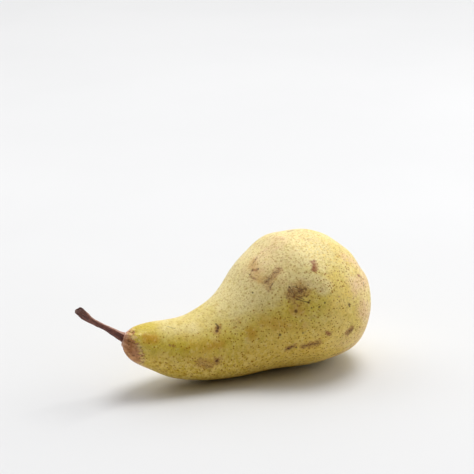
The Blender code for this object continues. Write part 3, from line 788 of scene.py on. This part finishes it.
def stem_material():
    g = Graph("stem_wood")
    own = g.attribute("grain", "Vector")  # (mm along, then the direction across) of the stem
    fibre = g.noise(g.vector("MULTIPLY", own, (0.16, 1.0, 1.0)), 0.5, 4, 0.65)
    broad = g.noise(own, 3.5, 3, 0.55)
    fine = g.noise(own, 0.35, 3, 0.6)
    colour = g.mix(g.step(fibre, 0.34, 0.66), srgb(80, 38, 32), srgb(126, 72, 58))
    colour = g.mix(g.mul(g.step(broad, 0.5, 0.7), 0.5), colour, srgb(138, 84, 68))
    colour = g.mix(g.mul(g.step(fibre, 0.6, 0.74), 0.45), colour, srgb(160, 112, 92))
    # Painted highlight: a pale pink band along the stem's upper side, as if lit from above.
    painted_top_highlight = g.step(g.add(g.attribute("painted_top_light"), g.mul(g.add(g.noise(g.vector("MULTIPLY", own, (0.3, 1.0, 1.0)), 0.9, 3, 0.6), -0.5), 0.9)), 0.35, 0.8)
    colour = g.mix(g.mul(painted_top_highlight, 0.62), colour, srgb(206, 162, 142))
    tip = g.attribute("tip")
    colour = g.mix(g.mul(tip, 0.5), colour, srgb(66, 36, 32))
    colour = g.mix(g.mul(g.mul(tip, g.step(fine, 0.5, 0.7)), 0.5), colour, srgb(140, 108, 88))
    foot = g.attribute("foot")
    colour = g.mix(g.mul(foot, 0.75), colour, g.mix(g.step(fine, 0.35, 0.65), srgb(140, 92, 68), srgb(172, 124, 92)))
    distance, cell = g.voronoi(own, 1.5)
    wart = g.mul(g.step(distance, 0.22, 0.1), g.math("LESS_THAN", g.channel(cell, 0), 0.5))
    colour = g.mix(g.mul(wart, 0.6), colour, srgb(168, 130, 104))
    g.set("Base Color", colour)
    g.set("Roughness", g.step(fibre, 0.3, 0.7, 0.52, 0.78))
    g.set("Normal", g.bump(g.add(g.mul(fibre, 1.0), g.add(g.mul(fine, 0.35), g.mul(wart, 0.6))), 0.0003, 0.8))
    return g.material


def build_stem():
    rise, thick = spline(STEM_RISE), spline(STEM_RADIUS)
    at = lip()
    x0, z0, slope0 = (float(v) for v in core(at))
    own = -math.degrees(slope0)
    fine = np.linspace(0, 1, 601)
    slope = np.radians(rise(fine * 100) - own)
    run = -np.concatenate([[0], np.cumsum((np.cos(slope[1:]) + np.cos(slope[:-1])) / 2)]) * STEM_LENGTH / 600
    lift = np.concatenate([[0], np.cumsum((np.sin(slope[1:]) + np.sin(slope[:-1])) / 2)]) * STEM_LENGTH / 600
    n = 72
    a = np.arange(n) * 2 * math.pi / n
    rows, coordinates, tips, feet, painted_top_lights = [], [], [], [], []

    def ring(x, z, tilt, r, along, push=0.0, tip=0.0, foot=0.0):
        side, up = r * np.cos(a), r * np.sin(a) * 0.92
        push = push - up * math.tan(math.radians(STEM_CUT)) * max(0.0, (along / STEM_LENGTH - 0.8) / 0.2)
        rows.append(np.stack([x + up * math.sin(tilt) - push * math.cos(tilt), side, z + up * math.cos(tilt) + push * math.sin(tilt)], -1))
        coordinates.append(np.stack([np.full(n, along), 2.4 * np.cos(a), 2.4 * np.sin(a)], -1))
        tips.append(np.full(n, tip))
        feet.append(np.full(n, foot))
        # the painted highlight runs along the stem's upper side
        painted_top_lights.append(step(np.sin(a), 0.35, 0.95) * (1 - tip))

    ring(2.2, 0, 0, np.full(n, 1.2), -2.2, foot=1)
    ring(2.2, 0, 0, np.full(n, 2.2), -2.2, foot=1)
    for u in np.linspace(-0.06, 1, 130):
        s = u * STEM_LENGTH
        v = max(u, 0)
        px = float(np.interp(v, fine, run)) + (-s if u < 0 else 0)
        pz = float(np.interp(v, fine, lift))
        t = math.radians(float(rise(v * 100)) - own)
        r = float(thick(v * 100))
        twist = a + 0.5 * u + 0.25 * math.sin(3 * u)
        ridge = 0.055 * np.sin(5 * twist + 0.7) + 0.035 * np.sin(9 * twist + 2.1 + 1.5 * u) + 0.022 * np.sin(14 * twist + 4 * u)
        ridge = ridge * (0.7 + 0.9 * smooth((v - 0.7) / 0.25))
        knobs = 0.035 * math.sin(9 * v + 1) + 0.03 * math.sin(23 * v + 0.4) + 0.03 * float(bell(v, 0.97, 0.02)) - 0.05 * float(bell(v, 0.9, 0.03))
        lump = np.array([noise.noise(Vector((s * 0.45, 1.3 * math.cos(b), 1.3 * math.sin(b)))) for b in a]) * 0.11
        shape = r * (1 + ridge + knobs * smooth(v / 0.15)) + lump * smooth(v / 0.12)
        # A buttressed foot where it joins the fruit.
        shape = shape + 0.22 * bell(v, 0.05, 0.05) * (0.5 + 0.5 * np.sin(4 * a + 0.9))
        shape = np.minimum(shape, r + 0.45 - 0.40 * float(step(v, 0.8, 0.95)))
        ring(px, pz, t, shape, s, tip=float(step(v, 0.86, 0.99)), foot=float(step(v, 0.13, 0.0)))
    # The broken-off end: a ragged rim round a sunken, fibrous face.
    px, pz, t = float(run[-1]), float(lift[-1]), math.radians(float(rise(100)) - own)
    end = shape
    ragged = np.array([noise.noise(Vector((2.2 * math.cos(b), 2.2 * math.sin(b), 4.0))) for b in a])
    rows[-1] = rows[-1] + np.outer(ragged * 0.16 - 0.16, [-math.cos(t), 0, math.sin(t)])
    for share, push in ((0.97, -0.04), (0.9, -0.02), (0.8, -0.16), (0.66, -0.42), (0.5, -0.55), (0.34, -0.46), (0.16, -0.4)):
        wobble = ragged * 0.16 * share + 0.08 * np.sin(6 * a + 9 * share) * (1 - share)
        ring(px, pz, t, end * share, STEM_LENGTH, push + wobble, tip=1.0)
    p = np.array(rows)
    c, s = math.cos(slope0), math.sin(slope0)
    up = p[..., 2] + float(socket_lift(at, 2.75))
    world = np.stack([x0 + p[..., 0] * c - up * s, p[..., 1], z0 + p[..., 0] * s + up * c], -1) + SHIFT
    vertices, faces, uv = closed_grid(world * MM)
    faces, uv = outward(vertices, faces, uv)
    made = new_object("pear_stem", vertices, faces, stem_material())
    ends = lambda rows_, first, last: np.concatenate([np.array(rows_).reshape(-1, *np.array(rows_).shape[2:]), [first, last]])
    grain = made.data.attributes.new("grain", "FLOAT_VECTOR", "POINT")
    grain.data.foreach_set("vector", ends(coordinates, (-2.2, 0, 0), (STEM_LENGTH + 1, 0, 0)).astype(np.float32).ravel())
    write_mask(made.data, "tip", ends(tips, 0.0, 1.0))
    write_mask(made.data, "foot", ends(feet, 1.0, 0.0))
    write_mask(made.data, "painted_top_light", ends(painted_top_lights, 0.0, 0.0))
    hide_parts("stem")


# ------------------------------------------------------------------ calyx
def calyx_material(name, dark, mid, light):
    g = Graph(name)
    at = g.object_mm()
    own = g.attribute("grain", "Vector")
    vein = g.noise(g.vector("MULTIPLY", own, (0.3, 1.0, 1.0)), 0.5, 4, 0.6)
    fine = g.noise(at, 0.35, 3, 0.6)
    colour = g.mix(g.step(vein, 0.35, 0.62), srgb(*dark), srgb(*mid))
    colour = g.mix(g.mul(g.step(fine, 0.52, 0.7), 0.6), colour, srgb(*light))
    g.set("Base Color", colour)
    g.set("Roughness", g.step(fine, 0.3, 0.7, 0.68, 0.9))
    g.set("Normal", g.bump(g.add(vein, g.mul(fine, 0.5)), 0.0002, 0.8))
    return g.material


def build_calyx():
    x, z, slope = (float(v) for v in core(1.0))
    way = np.array([math.cos(slope), 0, math.sin(slope)])
    origin = np.array([x, 0, z]) - way * (BASIN_DEPTH - CALYX_GAP) + SHIFT
    side = np.array([0.0, 1.0, 0.0])
    third = np.cross(way, side)

    def world(q):
        return origin + q[..., 0:1] * side + q[..., 1:2] * third + q[..., 2:3] * way

    def finish(name, q, own, material, *replaced):
        vertices, faces, uv = closed_grid(world(q) * MM)
        faces, uv = outward(vertices, faces, uv)
        made = new_object(name, vertices, faces, material)
        grain = made.data.attributes.new("grain", "FLOAT_VECTOR", "POINT")
        flat = np.concatenate([own.reshape(-1, 3), [own[0].mean(0), own[-1].mean(0)]])
        grain.data.foreach_set("vector", flat.astype(np.float32).ravel())
        if replaced:
            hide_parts(*replaced)
        return made

    cup_paint = calyx_material("calyx_cup_dry", (48, 33, 24), (84, 62, 44), (120, 94, 66))
    leaf_paint = calyx_material("calyx_sepal_dry", (64, 45, 31), (120, 90, 60), (166, 136, 98))
    thread_paint = calyx_material("calyx_thread_dry", (54, 38, 28), (100, 74, 50), (142, 112, 80))

    # The cup: a low, thick, uneven ring with a sunken floor.
    n = 96
    a = np.arange(n) * 2 * math.pi / n
    wavy = 1 + 0.045 * np.sin(5 * a + 0.4) + 0.025 * np.sin(11 * a + 1) + 0.015 * np.sin(23 * a)
    rows = []
    for r, h in ((1.8, -0.25), (3.0, -0.2), (3.35, 0.15), (3.45, 0.55), (3.42, 0.95), (3.3, 1.3), (3.1, 1.5), (2.88, 1.48), (2.7, 1.25), (2.55, 0.95), (2.2, 0.7), (1.6, 0.62), (0.9, 0.66), (0.35, 0.8)):
        h = h + (0.1 * np.sin(5 * a + 1.2) + 0.05 * np.sin(13 * a)) * (h > 0.5)
        rows.append(np.stack([r * wavy * np.cos(a), r * wavy * np.sin(a), h + 0 * a], -1))
    q = np.array(rows)
    own = np.stack([q[..., 2], 2 * np.cos(a) + 0 * q[..., 0], 2 * np.sin(a) + 0 * q[..., 0]], -1)
    finish("calyx_cup", q, own, cup_paint, "calyx")

    # Five dried sepals: keeled, curling outwards, each with its own twist.
    for k in range(5):
        angle = 2 * math.pi * (k + 0.5) / 5 + (0.10, -0.12, 0.06, -0.05, 0.14)[k]
        length = (5.2, 4.7, 5.4, 4.4, 5.0)[k]
        flare = (62, 48, 70, 40, 56)[k]
        curl = (34, 20, 46, -22, 30)[k]
        half = (1.55, 1.7, 1.5, 1.65, 1.55)[k]
        m, across = 26, 22
        rows, owns = [], []
        bend = np.radians(np.linspace(10, flare, m)) + np.radians(curl) * np.linspace(0, 1, m) ** 3
        out = 3.0 + np.concatenate([[0], np.cumsum(np.sin(bend[1:]))]) * length / (m - 1)
        high = 0.9 + np.concatenate([[0], np.cumsum(np.cos(bend[1:]))]) * length / (m - 1)
        for i in range(m):
            t = i / (m - 1)
            w = half * (1 - t**1.7) ** 0.8 + 0.10
            thin = 0.34 - 0.18 * t
            phi = np.arange(across) * 2 * math.pi / across
            wide = w * np.cos(phi)
            deep = thin * np.sin(phi) * (1 - 0.55 * (np.cos(phi)) ** 2)
            keel = -0.30 * (1 - t) * (1 - (wide / (half + 0.1)) ** 2) + 0.07 * np.sin(3.5 * wide + 7 * t + k) + 0.22 * t * np.sin(2.0 * wide / w + k)
            normal_out, normal_up = math.cos(bend[i]), -math.sin(bend[i])
            roll = 0.28 * (wide / (half + 0.1)) ** 2 * (0.4 + t)
            d = deep - keel - roll
            rr, hh = out[i] + d * normal_out, high[i] + d * normal_up
            twist = 0.16 * t * math.sin(k * 2.1 + 1)
            lateral = wide + twist * 3
            rows.append(np.stack([rr * math.cos(angle) - lateral * math.sin(angle), rr * math.sin(angle) + lateral * math.cos(angle), hh], -1))
            owns.append(np.stack([np.full(across, t * length), wide * 1.6 + k * 3, np.full(across, k * 2.0)], -1))
        finish(f"calyx_sepal_{k + 1}", np.array(rows), np.array(owns), leaf_paint)

    # Withered stamens in the cup.
    for k in range(11):
        angle = k * 2.399963
        r0 = 0.55 + 1.35 * math.sqrt((k + 0.5) / 11)
        tall = 2.0 + 0.9 * math.sin(k * 1.7)
        lean = 0.35 * math.sin(k * 2.3 + 1)
        m, across = 12, 8
        phi = np.arange(across) * 2 * math.pi / across
        rows, owns = [], []
        for i in range(m):
            t = i / (m - 1)
            cx = r0 * math.cos(angle) * (1 - 0.35 * t) + lean * t * t
            cy = r0 * math.sin(angle) * (1 - 0.35 * t) + 0.3 * math.cos(k * 1.9) * t * t
            cz = 0.55 + tall * t
            w = 0.12 * (1 - 0.35 * t) + 0.13 * float(bell(t, 0.92, 0.09))
            rows.append(np.stack([cx + w * np.cos(phi), cy + w * np.sin(phi), np.full(across, cz)], -1))
            owns.append(np.stack([np.full(across, t * tall + k), np.cos(phi), np.sin(phi)], -1))
        finish(f"calyx_stamen_{k + 1:02d}", np.array(rows), np.array(owns), thread_paint)


# ------------------------------------------------------------------ floor, light and camera
def build_stage():
    g = Graph("floor_pale")
    at = g.object_mm()
    colour = g.mix(g.step(g.noise(at, 240, 3), 0.35, 0.65), srgb(*FLOOR_A), srgb(*FLOOR_B))
    g.set("Base Color", colour)
    g.set("Roughness", 0.75)
    g.set("Specular IOR Level", 0.15)
    mesh = bpy.data.meshes.new("floor")
    e = 6.0
    mesh.from_pydata([(-e, -e, 0), (e, -e, 0), (e, e, 0), (-e, e, 0)], [], [(0, 1, 2, 3)])
    floor = bpy.data.objects.new("floor", mesh)
    bpy.context.scene.collection.objects.link(floor)
    floor.location.z = -0.00004
    mesh.materials.append(g.material)

    world = bpy.data.worlds.new("studio")
    world.use_nodes = True
    back = world.node_tree.nodes["Background"]
    tree = world.node_tree
    # A white room, bright behind and above the fruit and dim behind the camera.
    where, along, share = (tree.nodes.new(kind) for kind in ("ShaderNodeTexCoord", "ShaderNodeVectorMath", "ShaderNodeMapRange"))
    along.operation, share.interpolation_type = "DOT_PRODUCT", "SMOOTHSTEP"
    along.inputs[1].default_value = camera_side(WORLD_AIM).normalized()
    for name, value in (("From Min", -0.20), ("From Max", 0.80), ("To Min", WORLD_FRONT), ("To Max", WORLD_BACK)):
        share.inputs[name].default_value = value
    tree.links.new(where.outputs["Generated"], along.inputs[0])
    tree.links.new(along.outputs["Value"], share.inputs["Value"])
    tree.links.new(share.outputs["Result"], back.inputs[1])
    tint = tree.nodes.new("ShaderNodeMix")
    tint.data_type = "RGBA"
    tint.inputs[6].default_value, tint.inputs[7].default_value = (*WORLD_DIM, 1.0), (*WORLD_BRIGHT, 1.0)
    even = tree.nodes.new("ShaderNodeMath")
    even.operation, even.use_clamp = "DIVIDE", True
    even.inputs[1].default_value = WORLD_BACK * 0.7
    tree.links.new(share.outputs["Result"], even.inputs[0])
    tree.links.new(even.outputs[0], tint.inputs[0])
    tree.links.new(tint.outputs[2], back.inputs[0])
    bpy.context.scene.world = world

    for name, power, size, place_at, aim, tint in LIGHTS:
        lamp = bpy.data.lights.new(name, "AREA")
        lamp.shape, lamp.size, lamp.size_y = "RECTANGLE", size[0], size[1]
        lamp.energy, lamp.color = power, tint
        made = bpy.data.objects.new(name, lamp)
        bpy.context.scene.collection.objects.link(made)
        made.location = camera_side(place_at)
        made.rotation_euler = (camera_side(aim) - camera_side(place_at)).to_track_quat("-Z", "Y").to_euler()


def camera_side(p):
    """From (right, away from the camera, up) about the pear's middle to the row frame, in metres."""
    turn = math.radians(AWAY)
    return Vector((p[0] * math.cos(turn) + p[1] * math.sin(turn), -p[0] * math.sin(turn) + p[1] * math.cos(turn), p[2]))


AWAY = 29.46  # how far the pear's length is turned away from the picture plane
CAMERA_HEIGHT, CAMERA_DISTANCE, CAMERA_LENS = 18.0, 0.850, 137.35
CAMERA_TARGET = (0.009984, 0.00423, 0.06615)

FLOOR_A, FLOOR_B = (222, 223, 225), (224, 225, 227)
WORLD_FRONT, WORLD_BACK = 0.05, 0.97
WORLD_DIM, WORLD_BRIGHT = (1.0, 0.84, 0.62), (1.0, 1.0, 1.0)
WORLD_AIM = (0.12, 0.80, 0.60)
LIGHTS = (
    # name, watts, size, place (right, away, up), aim, colour
    ("softbox_over", 34.5, (1.3, 1.3), (0.52, 0.60, 2.36), (0.0, 0.05, 0.0), (1.0, 0.995, 0.985)),
    ("softbox_right", 2.35, (0.6, 0.6), (0.92, 0.36, 0.34), (0.0, 0.0, 0.03), (1.0, 1.0, 1.0)),
    ("softbox_left", 1.3, (0.6, 0.6), (-0.66, 0.30, 0.84), (0.0, 0.0, 0.03), (1.0, 0.995, 0.985)),
)


def build_camera():
    e, turn = math.radians(CAMERA_HEIGHT), math.radians(AWAY)
    look = Vector((math.sin(turn) * math.cos(e), math.cos(turn) * math.cos(e), -math.sin(e)))
    lens = bpy.data.cameras.new("camera")
    lens.lens, lens.sensor_width, lens.clip_start, lens.clip_end = CAMERA_LENS, 36.0, 0.05, 20.0
    made = bpy.data.objects.new("camera", lens)
    bpy.context.scene.collection.objects.link(made)
    made.location = Vector(CAMERA_TARGET) - look * CAMERA_DISTANCE
    made.rotation_euler = look.to_track_quat("-Z", "Y").to_euler()
    bpy.context.scene.camera = made
    bpy.context.scene.view_settings.view_transform = "Standard"
    bpy.context.scene.view_settings.look = "None"


build_fruit()
build_stem()
build_calyx()
build_stage()
build_camera()
bpy.context.view_layer.update()
